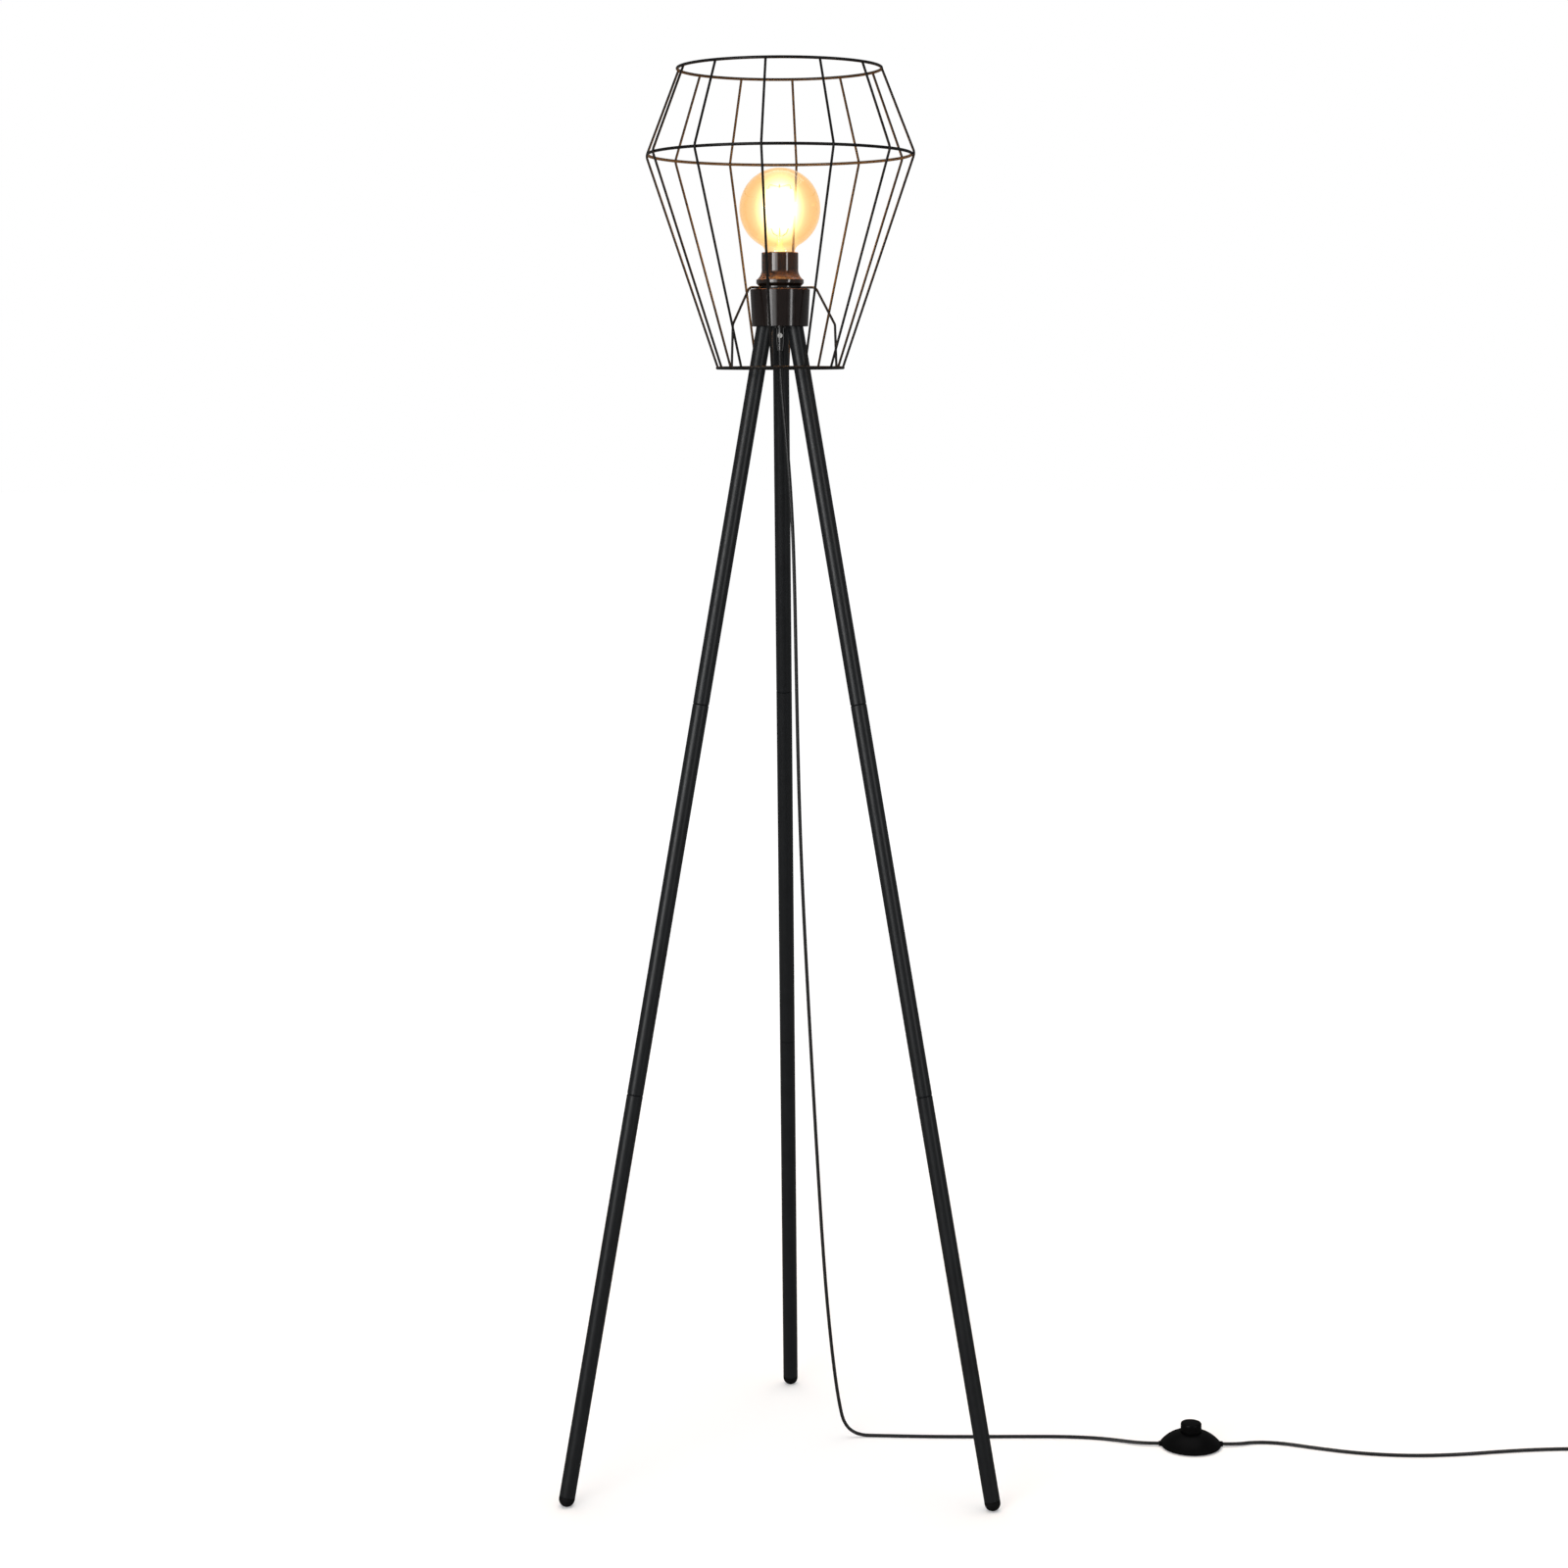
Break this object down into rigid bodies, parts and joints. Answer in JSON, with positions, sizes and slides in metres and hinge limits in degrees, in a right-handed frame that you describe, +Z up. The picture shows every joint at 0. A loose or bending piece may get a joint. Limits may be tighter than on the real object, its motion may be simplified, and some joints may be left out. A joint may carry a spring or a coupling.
{
  "type": "wire cage floor lamp",
  "caption": "Tripod floor lamp with a wire cage shade round a lit amber globe bulb, and a cord with a round foot switch.",
  "frame": {"origin": "on the floor, at the middle of the box round the lamp without its cord", "axes": "+Z up; +Y from the pictured front to the back leg; +X to the picture's right"},
  "size_m": [1.1138, 0.3845, 1.4134],
  "materials": {
    "leg_lacquer": "smooth satin black lacquer on steel tube",
    "foot_rubber": "matte black rubber",
    "cup_enamel": "glossy brown-black enamel on spun steel",
    "hub_casting": "black painted casting",
    "plated_steel": "zinc plated steel",
    "grip_plastic": "black moulded plastic",
    "cage_lacquer": "satin black powder coat on steel wire",
    "holder_plastic": "glossy brown-black moulded plastic",
    "porcelain": "white glazed ceramic",
    "brass": "plain pressed brass",
    "copper": "copper conductor",
    "bulb_glass": "amber tinted clear glass, lit",
    "cap_nickel": "nickel plated brass screw cap",
    "black_glass": "black glass insulator",
    "clear_glass": "clear glass stem",
    "filament": "phosphor coated filament, lit",
    "switch_plastic": "satin black moulded plastic",
    "cord_sheath": "smooth black sheath",
    "plug_plastic": "satin black moulded plastic",
    "pin_nickel": "nickel plated brass pin"
  },
  "bodies": {
    "root": {"cage_bottom_ring": "cage_lacquer", "cage_middle_ring": "cage_lacquer", "cage_rib_01": "cage_lacquer", "cage_rib_02": "cage_lacquer", "cage_rib_03": "cage_lacquer", "cage_rib_04": "cage_lacquer", "cage_rib_05": "cage_lacquer", "cage_rib_06": "cage_lacquer", "cage_rib_07": "cage_lacquer", "cage_rib_08": "cage_lacquer", "cage_rib_09": "cage_lacquer", "cage_rib_10": "cage_lacquer", "cage_rib_11": "cage_lacquer", "cage_rib_12": "cage_lacquer", "cage_top_ring": "cage_lacquer", "cord_coil": "cord_sheath", "cord_grip": "grip_plastic", "cord_grip_screw": "plated_steel", "cord_to_plug": "cord_sheath", "cord_to_switch": "cord_sheath", "foot_back": "foot_rubber", "foot_left": "foot_rubber", "foot_right": "foot_rubber", "hub_cup": "cup_enamel", "leg_back_lower_tube": "leg_lacquer", "leg_back_middle_tube": "leg_lacquer", "leg_back_upper_tube": "leg_lacquer", "leg_hub": "hub_casting", "leg_left_lower_tube": "leg_lacquer", "leg_left_middle_tube": "leg_lacquer", "leg_left_upper_tube": "leg_lacquer", "leg_right_lower_tube": "leg_lacquer", "leg_right_middle_tube": "leg_lacquer", "leg_right_upper_tube": "leg_lacquer", "leg_studs": "plated_steel", "plug_body": "plug_plastic", "plug_pins": "pin_nickel", "socket_base": "holder_plastic", "socket_centre_contact": "brass", "socket_core": "porcelain", "socket_leads": "copper", "socket_shell": "holder_plastic", "socket_terminal_screws": "brass", "socket_thread_sleeve": "brass", "spider_arm_1": "cage_lacquer", "spider_arm_2": "cage_lacquer", "spider_arm_3": "cage_lacquer", "spider_washer": "cage_lacquer", "switch_base": "switch_plastic", "switch_cover": "switch_plastic", "switch_spring": "plated_steel", "threaded_nipple": "plated_steel"},
    "bulb": {"bulb_cap": "cap_nickel", "bulb_filaments": "filament", "bulb_globe": "bulb_glass", "bulb_insulator": "black_glass", "bulb_lead_wires": "plated_steel", "bulb_stem": "clear_glass", "bulb_tip_contact": "cap_nickel"},
    "button": {"switch_button": "switch_plastic"}
  },
  "joints": [
    {"name": "bulb_lift", "type": "slide", "parent": "root", "child": "bulb", "axis": [0, 0, 1], "range_m": [0, 0.25]},
    {"name": "button_press", "type": "slide", "parent": "root", "child": "button", "axis": [0, 0, -1], "range_m": [0, 0.004], "stiffness_N_per_m": 500, "springref_m": -0.002, "deforming": ["switch_spring"]}
  ]
}
